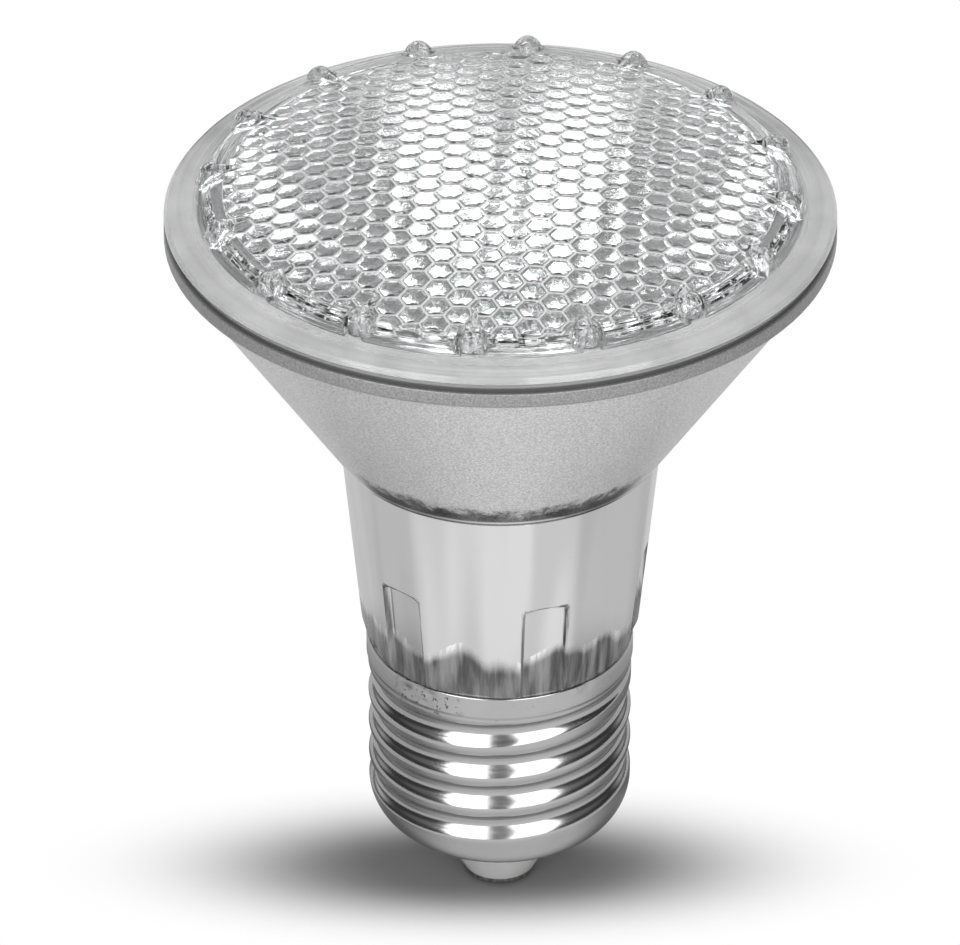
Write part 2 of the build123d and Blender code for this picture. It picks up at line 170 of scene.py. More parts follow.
def rounded_profile(corners, step):
    """A line of (r, z) points through corners of (r, z, fillet radius), no further apart than a step."""
    line = []
    count = len(corners)
    for k, (r, z, fillet) in enumerate(corners):
        here = np.array((r, z))
        if fillet == 0 or k in (0, count - 1):
            line.append(here)
            continue
        before = np.array(corners[k - 1][:2])
        after = np.array(corners[k + 1][:2])
        u = (before - here) / np.linalg.norm(before - here)
        v = (after - here) / np.linalg.norm(after - here)
        half = 0.5 * np.arccos(np.clip(u @ v, -1.0, 1.0))
        reach = fillet / np.tan(half)
        start, end = here + u * reach, here + v * reach
        for t in np.linspace(0.0, 1.0, 7):
            line.append((1 - t) ** 2 * start + 2 * t * (1 - t) * here + t * t * end)
    dense = [line[0]]
    for a, b in zip(line, line[1:]):
        gap = np.linalg.norm(b - a)
        if gap < 1e-6:
            continue
        pieces = int(np.ceil(gap / step))
        for k in range(1, pieces + 1):
            dense.append(a + (b - a) * k / pieces)
    return np.array(dense)


# Mesh helpers

def ring_points(angles, radius, height):
    """The points of one ring; radius and height are numbers or one value an angle."""
    turn = np.radians(angles)
    r = np.broadcast_to(radius, turn.shape)
    z = np.broadcast_to(height, turn.shape)
    return np.stack((r * np.cos(turn), r * np.sin(turn), z), axis=1)


def bridge(first, second, count):
    """Quads between two rings whose first vertices are given."""
    return [
        (first + k, first + (k + 1) % count, second + (k + 1) % count, second + k)
        for k in range(count)
    ]


def fan(pole, ring, count, upward):
    """Triangles from a pole to a ring."""
    faces = []
    for k in range(count):
        a, b = ring + k, ring + (k + 1) % count
        faces.append((pole, a, b) if upward else (pole, b, a))
    return faces


def new_object(name, points, faces):
    """A smooth-shaded mesh object from points in millimetres."""
    mesh = bpy.data.meshes.new(name)
    mesh.from_pydata([tuple(p) for p in np.asarray(points) * MM], [], faces)
    mesh.polygons.foreach_set("use_smooth", [True] * len(mesh.polygons))
    mesh.update()
    item = bpy.data.objects.new(name, mesh)
    bpy.context.scene.collection.objects.link(item)
    return item


def stands_for(item, slot, *nodes):
    """The piece rides on the one body and stands for CAD nodes, which are hidden; the slot is not used.
    """
    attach(item, "root")
    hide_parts(*nodes)


# Front lens: pressed dome, nubs, stepped rim and a honeycomb of pillows below

def lens_angles():
    """Ring angles, close together across each nub."""
    period = 360.0 / NUB_COUNT
    near = np.linspace(-NUB_SPREAD, NUB_SPREAD, 19)
    far = np.linspace(NUB_SPREAD, period - NUB_SPREAD, 9)[1:-1]
    sector = np.concatenate((near, far))
    return np.concatenate([NUB_PHASE + period * k + sector for k in range(NUB_COUNT)])


def dome_height(radius):
    """The height of the lens face at a radius."""
    rise = APEX_HEIGHT - FACE_HEIGHT
    sphere = (FACE_RADIUS**2 + rise**2) / (2 * rise)
    return APEX_HEIGHT - sphere + np.sqrt(sphere**2 - np.minimum(radius, FACE_RADIUS) ** 2)


def hollow_height(radius):
    """The height of the lens's hollow underside at a radius."""
    rise = HOLLOW_TOP - LENS_PLANE
    sphere = (SKIRT_BORE**2 + rise**2) / (2 * rise)
    return HOLLOW_TOP - sphere + sqrt(sphere**2 - radius**2)


def nub_surface(angles, radius, base):
    """The height of a ring of the lens face with the nubs on it."""
    period = 360.0 / NUB_COUNT
    off = (angles - NUB_PHASE + period / 2) % period - period / 2
    out = radius * np.cos(np.radians(off)) - FACE_RADIUS
    side = np.abs(radius * np.sin(np.radians(off)))
    ball = np.sqrt(out**2 + side**2) / NUB_RADIUS
    boss = FACE_HEIGHT + NUB_HEIGHT * np.maximum(1.0 - ball**NUB_BULGE, 0.0) ** NUB_POWER
    lift = np.maximum(boss - base, 0.0) * smooth_step(*NUB_FOOT, ball)
    along = np.clip(-out / NUB_LENGTH, 0.0, 1.0)
    spread = side / (NUB_TAIL + (NUB_RADIUS - NUB_TAIL) * (1.0 - along) ** 2)
    ridge = FACE_HEIGHT + NUB_HEIGHT
    tail = dome_height(FACE_RADIUS - NUB_LENGTH) + NUB_TAIL / 4
    crest = ridge + (tail - ridge) * along
    gable = crest - (crest - dome_height(radius)) * np.sqrt(spread**2 + 0.05)
    on_tail = np.where((out < 0) & (-out < NUB_LENGTH), 1.0, 0.0)
    inside = smooth_step(*NUB_FOOT, spread) * on_tail
    return base + np.maximum(lift, np.maximum(gable - base, 0.0) * inside)


def honeycomb_places():
    """The middles of the cells that reach into the honeycomb circle, before its turn."""
    reach = int(FRINGE_RADIUS / CELL_SIDE) + 1
    places = []
    for column in range(-reach, reach + 1):
        for row in range(-reach, reach + 1):
            x = 1.5 * CELL_SIDE * column
            y = sqrt(3) * CELL_SIDE * (row + 0.5 * (column % 2))
            if sqrt(x * x + y * y) < FRINGE_RADIUS + CELL_SIDE:
                places.append(np.array((x, y)))
    return places


def cell_outline(middle):
    """The points round a cell, cut off at the honeycomb's edge."""
    limit = FRINGE_RADIUS**2
    turns = [radians(a) for a in range(0, 420, 60)]
    corners = [middle + CELL_SIDE * np.array((cos(a), sin(a))) for a in turns]
    round_points = [
        a + (b - a) * step / SIDE_STEPS
        for a, b in zip(corners, corners[1:])
        for step in range(SIDE_STEPS)
    ]
    kept = []
    for p, q in zip(round_points, round_points[1:] + round_points[:1]):
        if p @ p <= limit:
            kept.append(p)
        if (p @ p <= limit) != (q @ q <= limit):
            d = q - p
            half, rest = p @ d / (d @ d), (p @ p - limit) / (d @ d)
            reach = sqrt(half**2 - rest)
            kept.append(p + d * (reach - half if rest < 0 else -half - reach))
    outline = []
    for p, q in zip(kept, kept[1:] + kept[:1]):
        outline.append(p)
        on_edge = min(p @ p, q @ q) > limit - 1e-6
        pieces = int(np.linalg.norm(q - p) / 0.4) + 1 if on_edge else 1
        for k in range(1, pieces):
            between = p + (q - p) * k / pieces
            outline.append(between * FRINGE_RADIUS / np.linalg.norm(between))
    return outline


def zip_rings(bm, inner, outer):
    """Triangles between two rings of vertices that lie at their own angles round the axis."""
    lists = []
    for ring in (inner, outer):
        turned = sorted((atan2(v.co.y, v.co.x), k) for k, v in enumerate(ring))
        first = turned[0]
        lists.append([(a, ring[k]) for a, k in turned] + [(first[0] + 2 * pi, ring[first[1]])])
    a, b = lists
    i = j = 0
    while i < len(a) - 1 or j < len(b) - 1:
        if j == len(b) - 1 or (i < len(a) - 1 and a[i + 1][0] < b[j + 1][0]):
            bm.faces.new((a[i][1], a[i + 1][1], b[j][1]))
            i += 1
        else:
            bm.faces.new((a[i][1], b[j + 1][1], b[j][1]))
            j += 1


def build_lens():
    """The lens as one closed mesh, with its lands and pillows in their own material slots."""
    angles = lens_angles()
    count = len(angles)
    rim_start = FRINGE_RADIUS + FRINGE_GAP
    rim = rounded_profile(
        [
            (rim_start, hollow_height(rim_start), 0),
            (SKIRT_BORE, LENS_PLANE, 0.25),
            (SKIRT_BORE, LENS_FOOT - SEAL_CONTACT, 0.1),
            (SKIRT_RADIUS, LENS_FOOT - SEAL_CONTACT, 0.12),
            (RIM_RADIUS, CREASE_HEIGHT, 0.14),
            (EDGE_RADIUS, EDGE_HEIGHT, 0.14),
            (STEP_RADIUS, LEDGE_HEIGHT, 0.35),
            (FACE_RADIUS, FACE_HEIGHT, 0.3),
            (FACE_START, float(dome_height(FACE_START)), 0),
        ],
        0.3,
    )
    inner_radii = np.concatenate((np.arange(FACE_START - 0.2, TAIL_END, -0.2), PLAIN_RADII))
    face = [(r, float(dome_height(r))) for r in inner_radii]
    points = []
    faces = []
    starts = []
    for r, z in list(rim) + face:
        top = z > LEDGE_HEIGHT - 1.0 and r < 30.0
        height = nub_surface(angles, r, z) if top else z
        starts.append(len(points))
        points.extend(ring_points(angles, r, height))
    for a, b in zip(starts, starts[1:]):
        faces.extend(bridge(a, b, count))
    points.append((0.0, 0.0, APEX_HEIGHT))
    faces.extend(fan(len(points) - 1, starts[-1], count, True))
    item = new_object("lens_glass", points, faces)

    # The honeycomb closes the underside
    bm = bmesh.new()
    bm.from_mesh(item.data)
    open_ring = [v for v in bm.verts if v.is_boundary]
    known = {}

    def corner(x, y, drop):
        key = (round(x, 4), round(y, 4))
        if key not in known:
            height = hollow_height(sqrt(x * x + y * y)) - drop
            turned = Matrix.Rotation(radians(CELL_TURN), 3, "Z") @ Vector((x, y, height))
            known[key] = bm.verts.new(turned * MM)
        return known[key]

    land = 1.0 - CELL_LAND / (CELL_SIDE * sqrt(3) / 2)
    pillow = [(CELL_PILLOW * (1 - t), 1.0 - CELL_SAG * (1 - t) ** 2) for t in PILLOW_STEPS]
    levels = [(1.0, 0.0), (land, 0.0)] + pillow
    for place_of_cell in honeycomb_places():
        outline = cell_outline(place_of_cell)
        if len(outline) < 3:
            continue
        middle = sum(outline) / len(outline)
        if max(np.linalg.norm(point - middle) for point in outline) < SLIVER_SIZE:
            bm.faces.new([corner(x, y, 0.0) for x, y in outline]).material_index = 1
            continue
        rings = []
        for share, drop in levels:
            around = [middle + share * (point - middle) for point in outline] if share else [middle]
            rings.append([corner(x, y, CELL_DEPTH * drop) for x, y in around])
        size = len(outline)
        for level in range(len(levels) - 2):
            outer, inner = rings[level], rings[level + 1]
            for k in range(size):
                n = (k + 1) % size
                made = bm.faces.new((outer[k], inner[k], inner[n], outer[n]))
                made.material_index = 1 if level == 0 else 2
        for k in range(size):
            made = bm.faces.new((rings[-2][k], rings[-1][0], rings[-2][(k + 1) % size]))
            made.material_index = 2
    edge = [v for v in known.values() if v.is_boundary]
    zip_rings(bm, edge, open_ring)
    bmesh.ops.recalc_face_normals(bm, faces=bm.faces)
    if bm.calc_volume(signed=True) < 0:
        bmesh.ops.reverse_faces(bm, faces=bm.faces)
    for f in bm.faces:
        f.smooth = True
    bm.to_mesh(item.data)
    bm.free()
    stands_for(item, "lens_glass", "front_lens")
    return item


# Glass reflector: panelled neck with pockets, frosted bowl, rim and the mirror inside

def neck_angles():
    """Ring angles, close together across the walls of each pocket."""
    sector = 360.0 / NECK_PANELS
    edge, wall, floor = 13.0, 10.4, 7.4
    spans = (
        (-edge, -wall, 3),
        (-wall, -floor, 9),
        (-floor, floor, 7),
        (floor, wall, 9),
        (wall, edge, 3),
        (edge, sector - edge, 12),
    )
    one_sector = np.concatenate([np.linspace(*span)[:-1] for span in spans])
    middle = PANEL_PHASE + sector / 2
    return np.concatenate([middle + sector * k + one_sector for k in range(NECK_PANELS)])


def neck_radius(angles, height):
    """The radius of the neck's outline at a height."""
    rise = (height - NECK_FOOT) / (NECK_TOP - NECK_FOOT)
    corner = NECK_FOOT_RADIUS + (NECK_HEAD_RADIUS - NECK_FOOT_RADIUS) * rise
    sector = 360.0 / NECK_PANELS
    off_panel = (angles - PANEL_PHASE) % sector
    off_panel = np.where(off_panel > sector / 2, off_panel - sector, off_panel)
    off_strip = (angles - PANEL_PHASE) % sector - sector / 2
    panel = corner * cos(radians(PANEL_HALF)) / np.cos(np.radians(off_panel))
    strip_half = sector / 2 - PANEL_HALF
    strip = corner * cos(radians(strip_half)) / np.cos(np.radians(off_strip))
    radius = soft_min(panel, strip, 0.6)
    across = np.abs(radius * np.sin(np.radians(off_strip)))
    inside = smooth_step(POCKET_HALF + 0.12, POCKET_HALF - 0.2, across)
    arch = 0.25 * np.maximum(across - 1.0, 0.0) ** 2
    below = smooth_step(POCKET_TOP + 0.15, POCKET_TOP - 0.3, height + arch)
    radius = radius - POCKET_DEPTH * inside * below
    limit = COLLAR_RADIUS + (height - NECK_FOOT) * NECK_FLARE
    return soft_min(radius, np.full_like(radius, limit), 0.2)


def build_reflector():
    """The glass reflector as one closed mesh, its mirror in a material slot of its own."""
    angles = neck_angles()
    count = len(angles)
    foot = rounded_profile(
        [
            (2.0, FLOOR_UNDER, 0),
            (NECK_BORE, FLOOR_UNDER, 0.3),
            (NECK_BORE, COLLAR_FOOT, 0.3),
            (SPIGOT_RADIUS, COLLAR_FOOT, 0.3),
            (SPIGOT_RADIUS, NECK_FOOT - 0.02, 0),
            (COLLAR_RADIUS - 0.1, NECK_FOOT, 0),
        ],
        2.0,
    )
    neck_levels = np.concatenate((
        np.arange(NECK_FOOT + 0.05, NECK_FOOT + 2.0, 0.2),
        np.arange(NECK_FOOT + 2.0, POCKET_TOP - 0.6, 0.75),
        np.arange(POCKET_TOP - 0.6, POCKET_TOP + 0.5, 0.1),
        np.arange(POCKET_TOP + 0.5, NECK_TOP - 0.4, 0.9),
        (NECK_TOP - 0.4, NECK_TOP - 0.15),
    ))
    neck_levels = neck_levels[np.diff(neck_levels, append=NECK_TOP) > 0.02]
    bowl = rounded_profile(
        [
            (NECK_HEAD_RADIUS - 0.6, NECK_TOP - 0.05, 0),
            (NECK_HEAD_RADIUS, NECK_TOP - 0.05, 0.3),
            (BOWL_RADIUS, BOWL_TOP, 0.4),
            (RIM_RADIUS, BOWL_TOP, 0.35),
            (RIM_RADIUS, RIM_TOP, 0.15),
            (MIRROR_MOUTH, RIM_TOP, 0.15),
            (MIRROR_MOUTH - 0.2, RIM_TOP - 0.37, 0),
        ],
        1.0,
    )
    depth = RIM_TOP - MIRROR_VERTEX
    mirror = [
        (r, MIRROR_VERTEX + depth * (r / MIRROR_MOUTH) ** 2)
        for r in np.linspace(MIRROR_MOUTH - 0.4, 0.6, 64)
    ]
    points = []
    faces = []
    starts = []
    for r, z in foot:
        starts.append(len(points))
        points.extend(ring_points(angles, r, z))
    for z in neck_levels:
        starts.append(len(points))
        points.extend(ring_points(angles, neck_radius(angles, z), z))
    mirror_from = None
    neck_head = neck_radius(angles, NECK_TOP)
    for r, z in list(bowl) + mirror:
        if mirror_from is None and z > RIM_TOP - 0.2 and r < MIRROR_MOUTH + 0.3:
            mirror_from = len(starts)
        starts.append(len(points))
        on_foot = NECK_TOP - 0.1 < z < NECK_TOP + 0.5 and r > NECK_HEAD_RADIUS - 1.0
        points.extend(ring_points(angles, np.maximum(r, neck_head) if on_foot else r, z))
    for a, b in zip(starts, starts[1:]):
        faces.extend(bridge(a, b, count))
    points.append((0.0, 0.0, FLOOR_UNDER))
    faces.extend(fan(len(points) - 1, starts[0], count, False))
    points.append((0.0, 0.0, MIRROR_VERTEX))
    faces.extend(fan(len(points) - 1, starts[-1], count, True))
    item = new_object("reflector_glass", points, faces)
    slots = np.zeros(len(faces), dtype=np.int32)
    slots[(mirror_from - 1) * count:(len(starts) - 1) * count] = 1
    slots[-count:] = 1
    item.data.polygons.foreach_set("material_index", slots)
    stands_for(item, "reflector_glass", "reflector_body")
    return item


# Screw shell: collar, rolled thread, rounded shoulder and sloping floor

def rolled_wave(off):
    """The rise of the thread from its root, with equal arcs; off is 0 at the root and 1 at the crest."""
    half = THREAD_PITCH / 2
    arc = (half**2 + THREAD_DEPTH**2) / (4 * THREAD_DEPTH)
    root = arc - np.sqrt(arc**2 - (np.minimum(off, 0.5) * half) ** 2)
    crest = THREAD_DEPTH - arc + np.sqrt(arc**2 - (np.clip(1.0 - off, 0.0, 0.5) * half) ** 2)
    return np.where(off < 0.5, root, crest)


def thread_surface(angles, height):
    """The radius of the rolled thread at a height, one value an angle."""
    radius = np.full_like(angles, THREAD_RADIUS)
    half = THREAD_PITCH / 2
    for turn in range(-1, int(THREAD_TURNS) + 2):
        place = ((THREAD_ANGLE - angles) % 360.0) / 360.0 + turn
        fade = np.minimum(1.0, np.minimum(place, THREAD_TURNS - place) / THREAD_FADE)
        ease = 0.5 - 0.5 * np.cos(pi * np.clip(fade, 0.0, 1.0))
        off = np.abs(height - (THREAD_START - THREAD_PITCH * place)) / half
        root = THREAD_RADIUS + THREAD_RUN_OUT - (THREAD_DEPTH + THREAD_RUN_OUT) * ease
        wave = root + rolled_wave(np.minimum(off, 1.0))
        radius = np.where((fade > 0) & (off < 1.0), np.minimum(radius, wave), radius)
    return radius


def collar_dents(angles, height):
    """How far small knocks on the collar push it in."""
    push = np.zeros_like(angles)
    for angle, level, wide, tall, depth in COLLAR_DENTS:
        along = turn_difference(angles, angle) / wide
        push += depth * np.exp(-along**2 - ((height - level) / tall) ** 2)
    return push


def build_shell():
    """The screw shell as one closed mesh, outside and inside."""
    angles = np.arange(0.0, 360.0, 1.5)
    count = len(angles)
    turn = 90.0 - FLOOR_SLOPE
    centre = THREAD_RADIUS - SHOULDER_RADIUS
    shoulder = [
        (centre + SHOULDER_RADIUS * cos(radians(a)), SHOULDER_TOP - SHOULDER_RADIUS * sin(radians(a)))
        for a in np.linspace(turn, 3.0, 20)
    ]
    start = shoulder[0]
    mouth = (MOUTH_RADIUS, start[1] - (start[0] - MOUTH_RADIUS) * tan(radians(FLOOR_SLOPE)))
    inner_radius = SHOULDER_RADIUS - (THREAD_RADIUS - SHELL_WALL)
    inner_shoulder = [
        (centre + inner_radius * cos(radians(a)), SHOULDER_TOP - inner_radius * sin(radians(a)))
        for a in np.linspace(0.0, turn, 10)
    ]
    inner_start = inner_shoulder[-1]
    inner_mouth = (
        MOUTH_RADIUS,
        inner_start[1] - (inner_start[0] - MOUTH_RADIUS) * tan(radians(FLOOR_SLOPE)),
    )
    floor = rounded_profile([inner_mouth + (0,), mouth + (0.12,), start + (0,)], 0.4)
    rings = [ring_points(angles, r, z) for r, z in list(floor) + shoulder[1:]]
    for z in np.arange(SHOULDER_TOP, COLLAR_FOOT - COLLAR_LIP, 0.11):
        rings.append(ring_points(angles, thread_surface(angles, z), z))
    collar = rounded_profile(
        [
            (THREAD_RADIUS, COLLAR_FOOT - COLLAR_LIP, 0),
            (COLLAR_RADIUS, COLLAR_FOOT, 0.2),
            (COLLAR_RADIUS, CAP_TOP, 0.14),
            (COLLAR_BORE, CAP_TOP, 0.12),
            (COLLAR_BORE, COLLAR_FOOT, 0),
            (SHELL_WALL, COLLAR_FOOT, 0),
            (SHELL_WALL, SHOULDER_TOP, 0),
        ],
        0.35,
    )
    for r, z in collar:
        push = collar_dents(angles, z) if r > COLLAR_BORE - 0.01 and z > COLLAR_FOOT else 0.0
        rings.append(ring_points(angles, r - push, z))
    rings.extend(ring_points(angles, r, z) for r, z in inner_shoulder[1:])
    points = np.concatenate(rings)
    faces = []
    for k in range(len(rings)):
        faces.extend(bridge(k * count, (k + 1) % len(rings) * count, count))
    item = new_object("screw_shell_rolled", points, faces)
    stands_for(item, "nickel_shell", "screw_shell")
    return item


def build_coil():
    """The filament as a close coil of wire."""
    around = np.arange(0.0, 360.0, 45.0)
    count = len(around)
    steps = COIL_TURNS * 20
    reach = FILAMENT_TOP - FILAMENT_FOOT - 2 * COIL_WIRE
    points = []
    faces = []
    for k in range(steps + 1):
        turn = 2 * pi * COIL_TURNS * k / steps
        z = FILAMENT_FOOT + COIL_WIRE + reach * k / steps
        outward = np.array((cos(turn), sin(turn), 0.0))
        for a in np.radians(around):
            rise = np.array((0.0, 0.0, z + COIL_WIRE * sin(a)))
            points.append(outward * (COIL_RADIUS + COIL_WIRE * cos(a)) + rise)
    for k in range(steps):
        faces.extend(bridge((k + 1) * count, k * count, count))
    faces.append(tuple(range(count)))
    faces.append(tuple(range(steps * count, (steps + 1) * count))[::-1])
    item = new_object("filament_coil", points, faces)
    stands_for(item, "tungsten", "filament")
    return item


# Node material helpers

def new_material(name):
    """An empty node material with its surface shader."""
    made = bpy.data.materials.new(name)
    made.use_nodes = True
    tree = made.node_tree
    tree.nodes.clear()
    out = tree.nodes.new("ShaderNodeOutputMaterial")
    shader = tree.nodes.new("ShaderNodeBsdfPrincipled")
    tree.links.new(shader.outputs[0], out.inputs["Surface"])
    return made, tree, shader


def feed(tree, socket, value):
    """A number, colour or another node's output goes into a socket."""
    if isinstance(value, bpy.types.NodeSocket):
        tree.links.new(value, socket)
    else:
        socket.default_value = value


def calc(tree, operation, *values):
    """One arithmetic node."""
    node = tree.nodes.new("ShaderNodeMath")
    node.operation = operation
    for socket, value in zip(node.inputs, values):
        feed(tree, socket, value)
    return node.outputs[0]


def times(tree, a, b):
    """The product of two values."""
    return calc(tree, "MULTIPLY", a, b)


def plus(tree, a, b):
    """The sum of two values."""
    return calc(tree, "ADD", a, b)


def minus(tree, a, b):
    """The difference of two values."""
    return calc(tree, "SUBTRACT", a, b)


def most(tree, a, b):
    """The higher of two values."""
    return calc(tree, "MAXIMUM", a, b)


def length_of(tree, a, b):
    """The length of two values taken at right angles."""
    return calc(tree, "SQRT", plus(tree, times(tree, a, a), times(tree, b, b)))


def ramp(tree, value, low, high, out_low=0.0, out_high=1.0):
    """An eased slope from one value to another."""
    node = tree.nodes.new("ShaderNodeMapRange")
    node.interpolation_type = "SMOOTHSTEP"
    feed(tree, node.inputs["Value"], value)
    feed(tree, node.inputs["From Min"], low)
    feed(tree, node.inputs["From Max"], high)
    feed(tree, node.inputs["To Min"], out_low)
    feed(tree, node.inputs["To Max"], out_high)
    return node.outputs[0]


def blend(tree, share, first, second):
    """A mix of two colours."""
    node = tree.nodes.new("ShaderNodeMix")
    node.data_type = "RGBA"
    feed(tree, node.inputs["Factor"], share)
    feed(tree, node.inputs[6], first)
    feed(tree, node.inputs[7], second)
    return node.outputs[2]


def place(tree, stretch=(1.0, 1.0, 1.0)):
    """The object's own coordinates in millimetres, stretched along each axis."""
    coords = tree.nodes.new("ShaderNodeTexCoord")
    mapping = tree.nodes.new("ShaderNodeMapping")
    tree.links.new(coords.outputs["Object"], mapping.inputs["Vector"])
    mapping.inputs["Scale"].default_value = [s / MM for s in stretch]
    return mapping.outputs[0]


def noise(tree, where, scale, detail=4.0, roughness=0.55):
    """A noise pattern, in turns a millimetre."""
    node = tree.nodes.new("ShaderNodeTexNoise")
    tree.links.new(where, node.inputs["Vector"])
    node.inputs["Scale"].default_value = scale
    node.inputs["Detail"].default_value = detail
    node.inputs["Roughness"].default_value = roughness
    return node.outputs["Fac"]


def split(tree, where):
    """The three parts of a place."""
    node = tree.nodes.new("ShaderNodeSeparateXYZ")
    tree.links.new(where, node.inputs[0])
    return node.outputs


def bump(tree, height, strength, distance):
    """A bump normal from a height pattern; the distance is in millimetres."""
    node = tree.nodes.new("ShaderNodeBump")
    node.inputs["Strength"].default_value = strength
    node.inputs["Distance"].default_value = distance * MM
    tree.links.new(height, node.inputs["Height"])
    return node.outputs[0]


def grey(level):
    """A neutral colour."""
    return (level, level, level, 1.0)


def let_lamps_through(tree, shader):
    """Clear glass passes the lamps' light to what is behind it."""
    out = tree.nodes["Material Output"]
    paths = tree.nodes.new("ShaderNodeLightPath")
    through = tree.nodes.new("ShaderNodeBsdfTransparent")
    through.inputs["Color"].default_value = grey(0.9)
    mix = tree.nodes.new("ShaderNodeMixShader")
    tree.links.new(paths.outputs["Is Shadow Ray"], mix.inputs[0])
    tree.links.new(shader.outputs[0], mix.inputs[1])
    tree.links.new(through.outputs[0], mix.inputs[2])
    tree.links.new(mix.outputs[0], out.inputs["Surface"])


# Materials

CLEAR_GLASS = (0.97, 0.98, 0.98, 1.0)
GLASS_IOR = 1.5
QUARTZ_IOR = 1.46
SKIRT_EDGE = (31.5, 31.7)
SEAL_DIRT = 31.72
FULL_SILVER = (40.0, 41.0)


def lens_material():
    """Clear pressed glass with turned rings round the rim."""
    made, tree, shader = new_material("lens_glass")
    where = place(tree)
    waves = noise(tree, where, 0.35, 3.0)
    x, y, z = split(tree, where)
    radius = length_of(tree, x, y)
    turned = ramp(tree, radius, FRINGE_RADIUS + 0.2, FRINGE_RADIUS + 0.8)
    turned = times(tree, turned, ramp(tree, z, FACE_HEIGHT + 0.25, FACE_HEIGHT + 0.05, 0.2, 1.0))
    across = tree.nodes.new("ShaderNodeCombineXYZ")
    tree.links.new(radius, across.inputs[0])
    tree.links.new(times(tree, z, 0.5), across.inputs[1])
    rings = noise(tree, across.outputs[0], 1.6, 2.0, 0.5)
    surface = plus(tree, times(tree, waves, 0.1), times(tree, rings, turned))
    above = times(tree, ramp(tree, z, CREASE_HEIGHT + 0.1, CREASE_HEIGHT + 0.2), 0.3)
    above = times(tree, above, ramp(tree, z, EDGE_HEIGHT, EDGE_HEIGHT - 0.15))
    edge = most(tree, ramp(tree, z, CREASE_HEIGHT, CREASE_HEIGHT - 0.1), above)
    edge = times(tree, edge, ramp(tree, radius, *SKIRT_EDGE))
    ground = blend(tree, ramp(tree, rings, 0.35, 0.65), grey(0.08), grey(0.40))
    on_ledge = ramp(tree, radius, STEP_RADIUS + 0.3, STEP_RADIUS + 0.9)
    groove = times(tree, ramp(tree, rings, 0.5, 0.68), on_ledge)
    glass = blend(tree, groove, CLEAR_GLASS, grey(0.78))
    feed(tree, shader.inputs["Base Color"], blend(tree, edge, glass, ground))
    clear = ramp(tree, radius, STEP_RADIUS, STEP_RADIUS + 1.0, 1.0, 0.93)
    feed(tree, shader.inputs["Transmission Weight"], minus(tree, clear, times(tree, edge, 0.6)))
    shader.inputs["IOR"].default_value = GLASS_IOR
    dull = ramp(tree, radius, STEP_RADIUS + 0.2, STEP_RADIUS + 1.2, 0.0, 0.12)
    feed(tree, shader.inputs["Roughness"], dull)
    feed(tree, shader.inputs["Normal"], bump(tree, surface, 0.45, 0.18))
    let_lamps_through(tree, shader)
    return made


def cell_material():
    """The pillows of the honeycomb, their pressed faces a little crinkled."""
    made, tree, shader = new_material("lens_cells")
    crinkle = noise(tree, place(tree), 0.8, 2.0, 0.5)
    shader.inputs["Base Color"].default_value = CLEAR_GLASS
    shader.inputs["Transmission Weight"].default_value = 1.0
    shader.inputs["IOR"].default_value = GLASS_IOR
    feed(tree, shader.inputs["Roughness"], ramp(tree, crinkle, 0.3, 0.7, 0.0, 0.04))
    feed(tree, shader.inputs["Normal"], bump(tree, crinkle, 0.28, 0.2))
    let_lamps_through(tree, shader)
    return made


def land_material():
    """The dull lands between the pillows."""
    made, tree, shader = new_material("lens_lands")
    grain = noise(tree, place(tree), 4.0, 3.0)
    colour = blend(tree, ramp(tree, grain, 0.3, 0.7), grey(0.60), grey(0.84))
    feed(tree, shader.inputs["Base Color"], colour)
    shader.inputs["Transmission Weight"].default_value = 0.35
    shader.inputs["IOR"].default_value = GLASS_IOR
    shader.inputs["Roughness"].default_value = 0.45
    feed(tree, shader.inputs["Normal"], bump(tree, grain, 0.3, 0.05))
    let_lamps_through(tree, shader)
    return made


def mirror_material():
    """The rippled mirror film inside the bowl."""
    made, tree, shader = new_material("reflector_mirror")
    where = place(tree)
    ripple = noise(tree, where, 0.5, 3.0)
    fine = noise(tree, where, 4.0, 2.0)
    shader.inputs["Metallic"].default_value = 1.0
    colour = blend(tree, ripple, (0.92, 0.93, 0.94, 1.0), (0.97, 0.97, 0.97, 1.0))
    feed(tree, shader.inputs["Base Color"], colour)
    feed(tree, shader.inputs["Roughness"], ramp(tree, fine, 0.3, 0.8, 0.02, 0.06))
    feed(tree, shader.inputs["Normal"], bump(tree, ripple, 0.3, 0.15))
    return made


